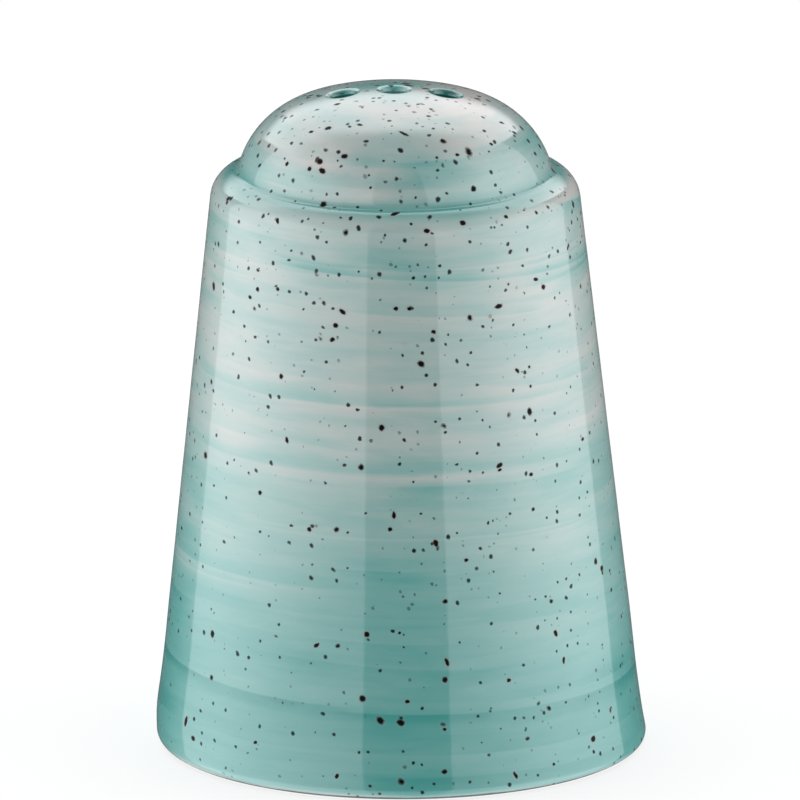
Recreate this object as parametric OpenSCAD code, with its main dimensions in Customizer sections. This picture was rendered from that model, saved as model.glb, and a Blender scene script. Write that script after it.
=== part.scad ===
// Table spice shaker: a one-piece glazed porcelain body and the soft stopper in its base.
// Millimetres. +Z is up, the origin is the centre of the foot, and the row of pour holes runs along X.
// Every revolved outline is a list of [radius, height] points.

/* [Body outside] */
// Height of the crown above the foot
body_h = 70; // [62:1:80]
// Greatest diameter, just above the foot
body_d = 51; // [50:0.5:58]
// Lean of the conical wall from the vertical, in degrees
wall_taper = 6.2; // [5:0.1:7.5]
// Radius of the foot's outer edge
foot_round = 1.2; // [0.8:0.1:2]
// Radius of the shoulder's outer rounding
shoulder_round = 3.1; // [2:0.1:3.4]
// Width of the shoulder, from the wall's top to the dome
shoulder_w = 2.85; // [2.6:0.05:4]
// Fall of the shoulder's top towards the outside, in degrees
shoulder_fall = 15; // [8:1:20]
// Radius of the soft crease between shoulder and dome
crease_round = 1; // [0.6:0.1:1.4]
// Height of the crown above the crease
dome_rise = 8.7; // [8.2:0.1:10]
// Lean of the dome's side where it leaves the crease, in degrees
dome_lean = 16.2; // [12:0.2:20]
// Radius of the shallow crown
crown_r = 34.5; // [28:0.5:42]

/* [Body inside] */
// Thickness of the conical wall
wall_t = 3.2; // [2.4:0.1:4]
// Thickness of the dome
dome_t = 3; // [2.4:0.1:3.6]
// Thickness of the base floor
floor_t = 4.2; // [3.8:0.1:6]
// Radius between the floor and the wall inside
cavity_round = 3; // [2:0.1:4]

/* [Foot and fill hole] */
// Depth of the recess under the base
recess_depth = 2.8; // [2.4:0.1:4]
// Width of the foot ring around the recess
foot_ring_w = 4.5; // [3.8:0.1:5.5]
// Radius of the foot ring's inner edge
foot_inner_round = 0.8; // [0.4:0.1:1]
// Radius in the corner of the recess
recess_round = 1.4; // [0.8:0.1:1.6]
// Diameter of the fill hole
fill_d = 21; // [18:0.5:23]
// Radius of the fill hole's edges
fill_edge_round = 0.8; // [0.4:0.1:1]

/* [Pour holes] */
// Number of pour holes in the row
pour_count = 3; // [1:1:3]
// Distance between neighbouring pour holes, along the crown
pour_pitch = 5.4; // [5.2:0.1:6]
// Diameter of a pour hole
pour_d = 2.6; // [1.8:0.1:2.8]
// Radius of a pour hole's softened rim
pour_rim = 1.2; // [0.6:0.1:1.2]

/* [Stopper] */
// Radial clearance between the stopper's sealing ribs and the fill hole
seal_clearance = 0.05; // [0.02:0.01:0.09]
// Number of sealing ribs
rib_count = 2; // [1:1:2]
// Standing height of a sealing rib over the plug
rib_h = 0.5; // [0.3:0.1:0.8]
// Width of a sealing rib at its root
rib_w = 0.8; // [0.5:0.1:0.8]
// Width of the flange outside the fill hole
flange_w = 2.6; // [2:0.1:4]
// Thickness of the flange
flange_t = 1.5; // [1:0.1:1.8]
// Reach of the plug past the floor's inside face
plug_reach = 2.2; // [1.5:0.1:4]
// Thickness of the plug's side wall
plug_wall = 1.7; // [1.2:0.1:2]
// Thickness of the plug's end wall
plug_end = 1.4; // [1:0.1:2]
// Thickness of the pull bar
bar_t = 2.2; // [1.6:0.1:3]

/* [Hidden] */
$fn = 96;
// Points along a full quarter turn of an outline's rounding
quarter_steps = 16;
// Extra length that a cutting shape runs past what it cuts
over = 1;

glaze_color = [0.60, 0.79, 0.76];
stopper_color = [0.90, 0.91, 0.89];

// Points along an arc from angle a0 to a1, in degrees, about a centre
function arc(centre, r, a0, a1) =
    let (steps = max(3, ceil(abs(a1 - a0) / 90 * quarter_steps)))
    [for (i = [0:steps]) let (a = a0 + (a1 - a0) * i / steps) centre + r * [cos(a), sin(a)]];

// Points along a cubic curve between two ends, pulled by two handles
function curve(p0, p1, p2, p3, steps = 16) =
    [for (i = [0:steps]) let (t = i / steps, s = 1 - t)
        s*s*s * p0 + 3*s*s*t * p1 + 3*s*t*t * p2 + t*t*t * p3];

// Unit vector at an angle in degrees
function along(a) = [cos(a), sin(a)];

// Outside of the body. Angles are those of the surface's outward direction.
foot_centre = [body_d / 2 - foot_round, foot_round];
cone_foot = foot_centre + foot_round * along(wall_taper);
function cone_r(z) = cone_foot[0] - tan(wall_taper) * (z - cone_foot[1]);
land_angle = 90 - shoulder_fall;
land_w = shoulder_w - shoulder_round * (cos(wall_taper) - cos(land_angle));
shoulder_rise = shoulder_round * (sin(land_angle) - sin(wall_taper)) + tan(shoulder_fall) * land_w;
shoulder_h = body_h - dome_rise - shoulder_rise;
shoulder_centre = [cone_r(shoulder_h), shoulder_h] - shoulder_round * along(wall_taper);
crease = [cone_r(shoulder_h) - shoulder_w, body_h - dome_rise];
crease_reach = crease_round / tan((90 + shoulder_fall + dome_lean) / 2);
crease_centre = crease + crease_reach * along(-shoulder_fall) + crease_round * along(land_angle);

// The dome: a tight side arc that runs into the shallow crown, which is centred on the axis
dome_start = crease + crease_reach * along(90 + dome_lean);
crown_centre = [0, body_h - crown_r];
crown_to_start = dome_start - crown_centre;
dome_side_r = (crown_to_start * crown_to_start - crown_r * crown_r)
    / (2 * (along(dome_lean) * crown_to_start - crown_r));
dome_side_centre = dome_start - dome_side_r * along(dome_lean);
crown_from = atan2(dome_side_centre[1] - crown_centre[1], dome_side_centre[0]);

// Inside of the body
floor_top = recess_depth + floor_t;
cavity_inset = wall_t / cos(wall_taper);
function cavity_r(z) = cone_r(z) - cavity_inset;
cavity_corner = [cavity_r(floor_top + cavity_round) - cavity_round * cos(wall_taper), floor_top + cavity_round];
neck_low = [cavity_r(shoulder_h - shoulder_round), shoulder_h - shoulder_round];
neck_high = dome_side_centre + (dome_side_r - dome_t) * along(dome_lean);
neck_pull = (neck_high[1] - neck_low[1]) / 2;

// Underside of the body
recess_r = body_d / 2 - foot_ring_w;
fill_r = fill_d / 2;

function body_outside() = concat(
    arc([recess_r - recess_round, recess_depth - recess_round], recess_round, 90, 0),
    arc([recess_r + foot_inner_round, foot_inner_round], foot_inner_round, 180, 270),
    arc(foot_centre, foot_round, -90, wall_taper),
    arc(shoulder_centre, shoulder_round, wall_taper, land_angle),
    arc(crease_centre, crease_round, 270 - shoulder_fall, 180 + dome_lean),
    arc(dome_side_centre, dome_side_r, dome_lean, crown_from),
    arc(crown_centre, crown_r, crown_from, 90)
);

function body_inside() = concat(
    arc(crown_centre, crown_r - dome_t, 90, crown_from),
    arc(dome_side_centre, dome_side_r - dome_t, crown_from, dome_lean),
    curve(neck_high, neck_high + neck_pull * along(dome_lean - 90),
          neck_low + neck_pull * along(wall_taper + 90), neck_low),
    arc(cavity_corner, cavity_round, wall_taper, -90),
    arc([fill_r + fill_edge_round, floor_top - fill_edge_round], fill_edge_round, 90, 180),
    arc([fill_r + fill_edge_round, recess_depth + fill_edge_round], fill_edge_round, 180, 270)
);

// Moves its children onto the crown at each pour hole, with +Z along the hole
module at_pour_holes() {
    step = 2 * asin(pour_pitch / 2 / crown_r);
    for (i = [0:pour_count - 1])
        translate([0, 0, crown_centre[1]])
            rotate([0, (i - (pour_count - 1) / 2) * step, 0])
                translate([0, 0, crown_r]) children();
}

// One pour hole and its rounded rim, from the surface down
module pour_hole() {
    translate([0, 0, -dome_t - over]) cylinder(d = pour_d, h = dome_t + 2 * over);
    rim_lift = pour_rim / 12; // the arc runs out through the surface instead of grazing it
    rotate_extrude()
        polygon(concat(
            [[0, rim_lift - pour_rim]],
            arc([pour_d / 2 + pour_rim, rim_lift - pour_rim], pour_rim, 180, 90),
            [[pour_d / 2 + pour_rim, over], [0, over]]
        ));
}

module shaker_body() {
    color(glaze_color)
        difference() {
            rotate_extrude() polygon(concat(body_outside(), body_inside()));
            at_pour_holes() pour_hole();
        }
}

// The stopper's sizes follow the fill hole and the floor that it passes through
seal_r = fill_r - seal_clearance;
plug_r = seal_r - rib_h;
flange_r = fill_r + flange_w;
flange_z = recess_depth - flange_t;
plug_top = floor_top + plug_reach;
plug_lead = plug_reach / 2;
well_r = plug_r - plug_wall;
well_top = plug_top - plug_end;
flange_edge_round = flange_t / 3;
rib_nose = rib_w / 6;
rib_low = recess_depth + fill_edge_round;
rib_pitch = (floor_t - 2 * fill_edge_round) / rib_count;

// One sealing rib in the plug's outline, centred at height z
function rib(z) = [
    [plug_r, z - rib_w / 2],
    each arc([seal_r - rib_nose, z], rib_nose, -60, 60),
    [plug_r, z + rib_w / 2]
];

function stopper_outside() = concat(
    [[0, flange_z]],
    arc([flange_r - flange_edge_round, flange_z + flange_edge_round], flange_edge_round, -90, 0),
    arc([flange_r - flange_edge_round, recess_depth - flange_edge_round], flange_edge_round, 0, 90),
    [[plug_r, recess_depth]],
    [for (i = [0:rib_count - 1]) each rib(rib_low + (i + 0.5) * rib_pitch)],
    [[plug_r, plug_top - plug_lead]],
    [[plug_r - plug_lead / 2, plug_top], [0, plug_top]]
);

// The finger well under the plug, open downwards
module finger_well() {
    well_round = plug_end;
    rotate_extrude()
        polygon(concat(
            [[0, flange_z - over], [well_r, flange_z - over]],
            arc([well_r - well_round, well_top - well_round], well_round, 0, 90),
            [[0, well_top]]
        ));
}

// The bar across the well that thumb and finger pinch, rounded along its lower edge
module pull_bar() {
    reach = well_r + plug_wall / 2;
    edge_z = flange_z + bar_t / 2;
    intersection() {
        union() {
            translate([-reach, -bar_t / 2, edge_z]) cube([2 * reach, bar_t, well_top + plug_end / 2 - edge_z]);
            translate([-reach, 0, edge_z]) rotate([0, 90, 0]) cylinder(d = bar_t, h = 2 * reach);
        }
        translate([0, 0, flange_z]) cylinder(r = reach, h = plug_top - flange_z);
    }
}

module stopper() {
    color(stopper_color) {
        difference() {
            rotate_extrude() polygon(stopper_outside());
            finger_well();
        }
        pull_bar();
    }
}

shaker_body();
stopper();
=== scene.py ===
"""A table spice shaker: a speckled, brushed glaze over a turned porcelain body, and its soft stopper.

Laid out as an add-on: the sizes and colours are properties, each piece has its own operator,
and main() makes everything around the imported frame. Lengths are metres unless a name says otherwise.
"""

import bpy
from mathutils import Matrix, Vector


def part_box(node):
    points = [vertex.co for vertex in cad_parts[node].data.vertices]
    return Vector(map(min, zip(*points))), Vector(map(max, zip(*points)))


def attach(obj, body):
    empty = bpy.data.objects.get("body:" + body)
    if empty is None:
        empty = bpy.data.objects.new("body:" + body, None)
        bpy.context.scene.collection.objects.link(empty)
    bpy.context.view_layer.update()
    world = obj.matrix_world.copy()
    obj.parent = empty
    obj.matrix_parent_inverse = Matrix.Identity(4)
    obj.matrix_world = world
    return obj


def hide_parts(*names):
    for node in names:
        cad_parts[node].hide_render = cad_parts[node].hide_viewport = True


bl_info = {
    "name": "Table spice shaker",
    "version": (1, 0, 0),
    "blender": (4, 5, 0),
    "location": "View3D > Sidebar > Shaker",
    "description": "Makes the glazed shaker, its stopper and a plain studio",
    "category": "Object",
}

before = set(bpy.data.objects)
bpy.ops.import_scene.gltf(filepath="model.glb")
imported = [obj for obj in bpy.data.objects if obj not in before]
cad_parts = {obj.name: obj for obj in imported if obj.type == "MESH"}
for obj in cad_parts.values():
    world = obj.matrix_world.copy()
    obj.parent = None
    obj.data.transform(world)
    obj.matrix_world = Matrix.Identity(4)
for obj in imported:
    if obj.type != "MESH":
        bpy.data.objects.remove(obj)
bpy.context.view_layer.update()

import math

import bmesh
import bpy
import numpy as np
from bpy.props import FloatProperty, FloatVectorProperty, IntProperty, PointerProperty
from mathutils import Vector

BODY_LOW, BODY_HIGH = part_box("shaker_body")
STOPPER_LOW, STOPPER_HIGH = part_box("stopper")

MM = 0.001
QUARTER = math.pi / 2  # a quarter turn
SEGMENTS = 256  # steps round every turned shape of the body
PLUG_SEGMENTS = 128  # steps round the stopper
FINE = 0.42 * MM  # spacing of the outline's points where it shows
COARSE = 1.4 * MM  # and inside, where it doesn't
SHOULDER_STEP = 0.2 * MM  # spacing along the shoulder's rounding
CREASE_STEP = 0.1 * MM  # along the crease
FOOT_STEP = 0.12 * MM  # and along the foot's outer edge
WIDEST_TURN = 0.12  # between two neighbouring points of an arc, in radians
WELD = 1e-6  # points nearer than this become one
LINED_SHARE = 0.6  # of a face's corners lie inside the body where the face takes the liner glaze
TABLE_GAP = 0.05 * MM  # keeps the table's top clear of the foot ring that stands on it
TENT = 0.3  # radius of the table and of the tent round it
STAGE_SEGMENTS = 96  # steps round them


def length(name, text, millimetres):
    """A length property whose default is given in millimetres."""
    return FloatProperty(name=name, description=text, default=millimetres * MM, unit="LENGTH", precision=5)


def angle(name, text, degrees):
    """An angle property whose default is given in degrees."""
    return FloatProperty(name=name, description=text, default=math.radians(degrees), subtype="ANGLE")


def colour(name, text, red, green, blue):
    """A colour property, as linear light."""
    return FloatVectorProperty(name=name, description=text, default=(red, green, blue), subtype="COLOR",
                               size=3, min=0, max=1)


def amount(name, text, value):
    """A plain number without a unit."""
    return FloatProperty(name=name, description=text, default=value)


def count(name, text, value):
    """A whole number."""
    return IntProperty(name=name, description=text, default=value, min=1)


# ---------------------------------------------------------------- sizes and colours


class ShakerBodySizes(bpy.types.PropertyGroup):
    width: length("Width", "Greatest diameter, at the foot", round((BODY_HIGH.x - BODY_LOW.x) / MM, 1))
    height: length("Height", "Height of the crown above the foot", 70)
    wall_taper: angle("Wall taper", "Lean of the conical wall", 6.2)
    foot_round: length("Foot rounding", "Radius of the foot's outer edge", 1.2)
    shoulder_round: length("Shoulder rounding", "Radius of the shoulder's outer edge", 3.1)
    shoulder_width: length("Shoulder width", "From the wall's top to the dome", 2.85)
    shoulder_fall: angle("Shoulder fall", "Fall of the shoulder's top towards the outside", 15)
    crease_round: length("Crease rounding", "Radius between shoulder and dome", 1)
    dome_rise: length("Dome rise", "Height of the crown above the crease", 8.7)
    dome_lean: angle("Dome lean", "Lean of the dome's side where it leaves the crease", 16.2)
    crown_radius: length("Crown radius", "Radius of the shallow crown", 34.5)
    wall: length("Wall", "Thickness of the conical wall", 3.2)
    dome_wall: length("Dome wall", "Thickness of the dome", 3)
    floor: length("Floor", "Thickness of the base floor", 4.2)
    chamber_round: length("Chamber rounding", "Radius between the floor and the wall inside", 3)
    recess_depth: length("Recess depth", "Depth of the recess under the base", 2.8)
    foot_ring: length("Foot ring", "Width of the ring round the recess", 4.5)
    ring_round: length("Ring rounding", "Radius of the foot ring's inner edge", 0.8)
    recess_round: length("Recess rounding", "Radius in the corner of the recess", 1.4)
    fill_width: length("Fill hole", "Diameter of the fill hole", 21)
    fill_round: length("Fill hole rounding", "Radius of the fill hole's edges", 0.8)
    lean: angle("Kiln lean", "How far the fired body leans towards -X", 0.5)
    foot_flare: length("Foot flare", "How far the foot spread in the kiln", 0.13)
    foot_creep: length("Foot creep", "How far the foot's edge crept towards +X", 0.3)
    throwing_ripple: length("Throwing ripple", "Height of the faint rings that shaping left", 0.008)
    sag: length("Out of round", "How far the fired body is out of round", 0.03)


class ShakerPourHoles(bpy.types.PropertyGroup):
    pitch: length("Pitch", "Distance between neighbouring pour holes", 5.4)
    width: length("Width", "Diameter of a pour hole", 2.6)
    rim: length("Rim", "Radius of a hole's softened rim", 0.6)
    inner_rim: length("Inner rim", "Radius of a hole's edge inside the dome", 0.4)
    chord_steps: count("Chord steps", "Points along the line between two holes", 44)


class ShakerStopperSizes(bpy.types.PropertyGroup):
    flange_width: length("Flange", "Diameter of the flange", round((STOPPER_HIGH.x - STOPPER_LOW.x) / MM, 1))
    flange_thickness: length("Flange thickness", "Thickness of the flange", 1.5)
    seal_clearance: length("Seal clearance", "Between the sealing ribs and the fill hole", 0.05)
    rib_height: length("Rib height", "Standing height of a sealing rib", 0.5)
    rib_width: length("Rib width", "Width of a rib at its root", 0.8)
    ribs: count("Ribs", "Number of sealing ribs", 2)
    plug_wall: length("Plug wall", "Thickness of the plug's side", 1.7)
    plug_end: length("Plug end", "Thickness of the plug's end", 1.4)
    bar: length("Pull bar", "Thickness of the bar across the finger well", 2.2)
    soft_edge: length("Soft edge", "Rounding that the mould leaves on edges", 0.3)


class ShakerGlazeLook(bpy.types.PropertyGroup):
    pale: colour("Thin glaze", "Colour where the teal glaze is thin", 0.37, 0.415, 0.393)
    tint: colour("Teal tint", "Share of each colour that one layer of glaze lets through", 0.20, 0.66, 0.64)
    liner: colour("Liner glaze", "Colour of the clear glaze inside", 0.66, 0.67, 0.65)
    clay: colour("Bare clay", "Colour of the unglazed foot ring", 0.58, 0.54, 0.49)
    speck: colour("Iron speck", "Colour of an iron speck's middle", 0.010, 0.008, 0.008)
    halo: colour("Speck halo", "Colour that bleeds from a speck into the glaze", 0.30, 0.19, 0.18)
    roughness: amount("Roughness", "Roughness of the fired glaze", 0.055)
    glaze_ior: amount("Glaze index", "Refractive index of the bright glaze", 1.8)


class ShakerStudio(bpy.types.PropertyGroup):
    elevation: angle("Camera elevation", "Camera's height above the horizon", 14.52)
    distance: FloatProperty(name="Camera distance", description="From the camera to its aim", default=3.737,
                            unit="LENGTH")
    lens: FloatProperty(name="Lens", description="Focal length in millimetres", default=1611.4)
    aim_side: length("Aim side", "The camera's aim, to the right of the axis", 0.09)
    aim_height: length("Aim height", "Height of the camera's aim on the axis", 36.54)
    sheet: amount("Sheet", "Radiance of the tall panels at their inner edges", 0.73)
    left_glow: amount("Left glow", "Radiance that the left panel's middle adds", 1.54)
    right_glow: amount("Right glow", "Radiance that the right panel's middle adds", 1.42)
    top_panel: amount("Top panel", "Radiance of the panel above and behind", 1.95)
    surroundings: amount("Surroundings", "Radiance of the dim room", 0.11)


# ---------------------------------------------------------------- outlines, [radius, height] rows


def direction(turn):
    """Unit vectors (cos t, sin t) for an angle or an array of angles."""
    return np.stack([np.cos(turn), np.sin(turn)], -1)


def arc(centre, radius, start, end, spacing=FINE):
    """Points c + r (cos t, sin t), with t running evenly from start to end, in radians."""
    turn = abs(end - start)
    steps = max(4, math.ceil(turn * radius / spacing), math.ceil(turn / WIDEST_TURN))
    return np.asarray(centre) + radius * direction(np.linspace(start, end, steps + 1))


def run(start, end, spacing=FINE):
    """Points p + t (q - p), with t running evenly from 0 to 1."""
    start, end = np.asarray(start, float), np.asarray(end, float)
    steps = max(1, math.ceil(np.linalg.norm(end - start) / spacing))
    return start + np.linspace(0, 1, steps + 1)[:, None] * (end - start)


def sweep_curve(points, steps):
    """A cubic curve between the first and last of four points, pulled by the two between."""
    t = np.linspace(0, 1, steps + 1)[:, None]
    s = 1 - t
    return s**3 * points[0] + 3 * s * s * t * points[1] + 3 * s * t * t * points[2] + t**3 * points[3]


def chain(*parts):
    """Joins runs and arcs end to end and drops the points that two neighbours share."""
    joined = np.vstack(parts)
    gaps = np.linalg.norm(np.diff(joined, axis=0), axis=1)
    return joined[np.concatenate([[True], gaps > WELD])]


class BodyOutline:
    """The body's turned outline before firing, from the same sizes as the solid that it stands for."""

    def __init__(self, sizes, holes):
        s = self.sizes = sizes
        self.land = QUARTER - s.shoulder_fall
        taper_way, land_way = direction(s.wall_taper), direction(self.land)
        half = s.width / 2
        self.foot_centre = np.array([half - s.foot_round, s.foot_round])
        self.cone_foot = self.foot_centre + s.foot_round * taper_way
        land_width = s.shoulder_width - s.shoulder_round * (math.cos(s.wall_taper) - math.cos(self.land))
        shoulder_rise = (s.shoulder_round * (math.sin(self.land) - math.sin(s.wall_taper))
                         + math.tan(s.shoulder_fall) * land_width)
        self.shoulder_height = s.height - s.dome_rise - shoulder_rise
        self.cone_top = np.array([self.cone_radius(self.shoulder_height), self.shoulder_height])
        self.shoulder_centre = self.cone_top - s.shoulder_round * taper_way
        self.crease = np.array([self.cone_top[0] - s.shoulder_width, s.height - s.dome_rise])
        reach = s.crease_round / math.tan((QUARTER + s.shoulder_fall + s.dome_lean) / 2)
        self.crease_centre = self.crease + reach * direction(-s.shoulder_fall) + s.crease_round * land_way
        side_start = self.crease + reach * direction(QUARTER + s.dome_lean)
        self.crown_centre = np.array([0.0, s.height - s.crown_radius])
        lift = side_start - self.crown_centre
        self.side_radius = ((lift @ lift - s.crown_radius**2)
                            / (2 * (direction(s.dome_lean) @ lift - s.crown_radius)))
        self.side_centre = side_start - self.side_radius * direction(s.dome_lean)
        self.crown_from = math.atan2(self.side_centre[1] - self.crown_centre[1], self.side_centre[0])
        self.floor_top = s.recess_depth + s.floor
        self.recess_radius = half - s.foot_ring
        # the cap holds the pour holes; its ring of points has one exactly on each line between two holes
        ring_step = math.tau / SEGMENTS
        wanted_radius = 1.6 * holes.pitch
        self.chord_from = round(math.acos(holes.pitch / 2 / wanted_radius) / ring_step)
        self.cap_radius = holes.pitch / 2 / math.cos(self.chord_from * ring_step)
        self.cap_angle = math.acos(self.cap_radius / s.crown_radius)

    def cone_radius(self, height):
        """The radius of the straight cone that the wall follows."""
        return self.cone_foot[0] - math.tan(self.sizes.wall_taper) * (height - self.cone_foot[1])

    def outside(self):
        """From the cap over dome, shoulder and wall, and under the foot to the fill hole's lower edge."""
        s = self.sizes
        recess_corner = (self.recess_radius - s.recess_round, s.recess_depth - s.recess_round)
        ring_edge = (self.recess_radius + s.ring_round, s.ring_round)
        fill_low = (s.fill_width / 2 + s.fill_round, s.recess_depth + s.fill_round)
        return chain(
            arc(self.crown_centre, s.crown_radius, self.cap_angle, self.crown_from),
            arc(self.side_centre, self.side_radius, self.crown_from, s.dome_lean),
            arc(self.crease_centre, s.crease_round, math.pi + s.dome_lean, 3 * QUARTER - s.shoulder_fall,
                CREASE_STEP),
            arc(self.shoulder_centre, s.shoulder_round, self.land, s.wall_taper, SHOULDER_STEP),
            run(self.cone_top, self.cone_foot, 2 * FINE),
            arc(self.foot_centre, s.foot_round, s.wall_taper, -QUARTER, FOOT_STEP),
            run((self.foot_centre[0], 0), (ring_edge[0], 0)),
            arc(ring_edge, s.ring_round, 3 * QUARTER, math.pi),
            arc(recess_corner, s.recess_round, 0, QUARTER),
            run((recess_corner[0], s.recess_depth), (fill_low[0], s.recess_depth), 2 * FINE),
            arc(fill_low, s.fill_round, 3 * QUARTER, math.pi),
        )

    def inside(self):
        """From the fill hole up over the floor, the wall and the dome's underside to the inner cap."""
        s = self.sizes
        inset = s.wall / math.cos(s.wall_taper)
        fill_high = (s.fill_width / 2 + s.fill_round, self.floor_top - s.fill_round)
        corner_height = self.floor_top + s.chamber_round
        corner_radius = self.cone_radius(corner_height) - inset - s.chamber_round * math.cos(s.wall_taper)
        corner = np.array([corner_radius, corner_height])
        neck_height = self.shoulder_height - s.shoulder_round
        neck_low = np.array([self.cone_radius(neck_height) - inset, neck_height])
        neck_high = self.side_centre + (self.side_radius - s.dome_wall) * direction(s.dome_lean)
        pull = (neck_high[1] - neck_low[1]) / 2
        neck = np.array([neck_low, neck_low + pull * direction(s.wall_taper + QUARTER),
                         neck_high + pull * direction(s.dome_lean - QUARTER), neck_high])
        return chain(
            arc(fill_high, s.fill_round, math.pi, QUARTER),
            run((fill_high[0], self.floor_top), (corner_radius, self.floor_top), COARSE),
            arc(corner, s.chamber_round, -QUARTER, s.wall_taper, COARSE),
            run(corner + s.chamber_round * direction(s.wall_taper), neck_low, COARSE),
            sweep_curve(neck, steps=10),
            arc(self.side_centre, self.side_radius - s.dome_wall, s.dome_lean, self.crown_from, COARSE),
            arc(self.crown_centre, s.crown_radius - s.dome_wall, self.crown_from, self.cap_angle, COARSE),
        )

    def radius_at(self, height):
        """The outside radius at a height above the foot, between the foot and the crown."""
        wall = self.outside()
        wall = wall[:np.argmax(wall[:, 1] < 2 * self.sizes.foot_round)]
        return np.interp(height, wall[::-1, 1], wall[::-1, 0])


# ---------------------------------------------------------------- surfaces, as grids of points


def hump(distance, width):
    """exp(-(distance / width)^2)."""
    return np.exp(-(distance / width)**2)


def ramp(value, start, reach):
    """Runs straight from 0 at start to 1 a reach further on, and keeps those values outside."""
    return np.clip((value - start) / reach, 0, 1)


def drawn_in(radius, past):
    """How far a rounding draws a side in, a distance past its start: r - sqrt(r^2 - past^2)."""
    return radius - np.sqrt(np.maximum(radius**2 - np.maximum(past, 0)**2, 0))


def turned(outline, segments):
    """Grid [row, column]: x = r cos a, y = r sin a, z = h, with a running evenly once round the axis."""
    around = direction(np.arange(segments) * math.tau / segments)
    flat = outline[:, 0, None, None] * around[None]
    tall = np.broadcast_to(outline[:, 1, None, None], (len(outline), segments, 1))
    return np.concatenate([flat, tall], axis=2)


def grid_faces(rows, columns, first):
    """Quads between each row of points and the next, where the last column joins the first."""
    row, column = np.meshgrid(np.arange(rows - 1), np.arange(columns), indexing="ij")
    after = (column + 1) % columns
    corners = [row * columns + column, row * columns + after, (row + 1) * columns + after,
               (row + 1) * columns + column]
    return np.stack(corners, -1).reshape(-1, 4) + first


def pour_hole_border(body, holes, index):
    """The edge of one hole's share of the cap, as (x, y) rows: arcs of the cap's circle and straight lines.

    The two lines lie halfway between neighbouring holes, at x = -pitch / 2 and pitch / 2.
    """
    ring = np.arange(SEGMENTS) * math.tau / SEGMENTS
    line_end = body.cap_radius * math.sin(ring[body.chord_from])
    line_y = np.linspace(1, -1, holes.chord_steps + 1)[1:-1] * line_end
    line = np.stack([np.full(len(line_y), holes.pitch / 2), line_y], -1)
    if index == 0:
        top = body.cap_radius * direction(ring[body.chord_from:SEGMENTS // 2 - body.chord_from + 1])
        return np.vstack([top, line * np.array([-1, 1]), -top, line * np.array([1, -1])])
    side = np.concatenate([ring[-body.chord_from:], ring[:body.chord_from + 1]])
    return np.vstack([body.cap_radius * direction(side), line]) * index * np.array([1, index])


def pour_hole_grid(body, holes, index):
    """One pour hole and the part of the cap round it, as rows of points from the cap's edge inwards.

    In the hole's own frame, with its axis through the crown's centre, a point at (u, v) on the crown has the
    height sqrt(R^2 - u^2 - v^2). The rows run straight from the border to the rim, follow the rim's arc,
    which touches crown and bore, go down the bore, round its inner edge and out to the border's image on the
    inner crown. Returns the grid, for each row how deep into the hole it lies, from 0 to 1, and whether it is
    inside the body.
    """
    cap_rows, rim_rows, inner_rim_rows, under_rows, bore_step = 15, 15, 6, 9, 0.25 * MM
    crown, inner_crown = body.sizes.crown_radius, body.sizes.crown_radius - body.sizes.dome_wall
    border = pour_hole_border(body, holes, index)
    tilt = index * 2 * math.asin(holes.pitch / 2 / crown)
    across = np.array([math.cos(tilt), 0, -math.sin(tilt)])
    axis = np.array([math.sin(tilt), 0, math.cos(tilt)])
    world = np.column_stack([border, np.sqrt(crown**2 - (border**2).sum(1))])
    flat = np.stack([world @ across, border[:, 1]], -1)
    spoke = flat / np.linalg.norm(flat, axis=1, keepdims=True)

    bore = holes.width / 2
    rim_at = bore + holes.rim
    rim_height = math.sqrt((crown - holes.rim)**2 - rim_at**2)
    rim_turn = np.linspace(math.atan2(rim_height, rim_at), math.pi, rim_rows)
    rim = np.array([rim_at, rim_height]) + holes.rim * direction(rim_turn)
    inner_at = bore + holes.inner_rim
    inner_height = math.sqrt((inner_crown + holes.inner_rim)**2 - inner_at**2)
    inner_turn = np.linspace(math.pi, math.pi + math.atan2(inner_height, inner_at), inner_rim_rows)
    inner = np.array([inner_at, inner_height]) + holes.inner_rim * direction(inner_turn)
    hole = chain(rim, run(rim[-1], inner[0], bore_step), inner)

    share = np.linspace(0, 1, cap_rows)[:-1, None, None]
    outer = flat[None] * (1 - share) + hole[0, 0] * spoke[None] * share
    share = np.linspace(0, 1, under_rows)[1:, None, None]
    under = hole[-1, 0] * spoke[None] * (1 - share) + flat[None] * inner_crown / crown * share
    grid_flat = np.concatenate([outer, hole[:, 0, None, None] * spoke[None], under])
    grid_heights = np.concatenate([np.sqrt(crown**2 - (outer**2).sum(2)),
                                   np.broadcast_to(hole[:, 1, None], (len(hole), len(flat))),
                                   np.sqrt(inner_crown**2 - (under**2).sum(2))])
    grid = grid_flat[..., :1] * across + grid_heights[..., None] * axis
    grid[..., 1] += grid_flat[..., 1]
    grid[..., 2] += body.crown_centre[1]

    below_rim = len(hole) - len(rim) + len(under)
    depth = np.concatenate([np.zeros(len(outer)), np.linspace(0, 1, len(rim)), np.ones(below_rim)])
    inside = np.arange(len(grid)) >= len(outer) + len(hole) - len(inner)
    return grid, depth, inside


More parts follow.
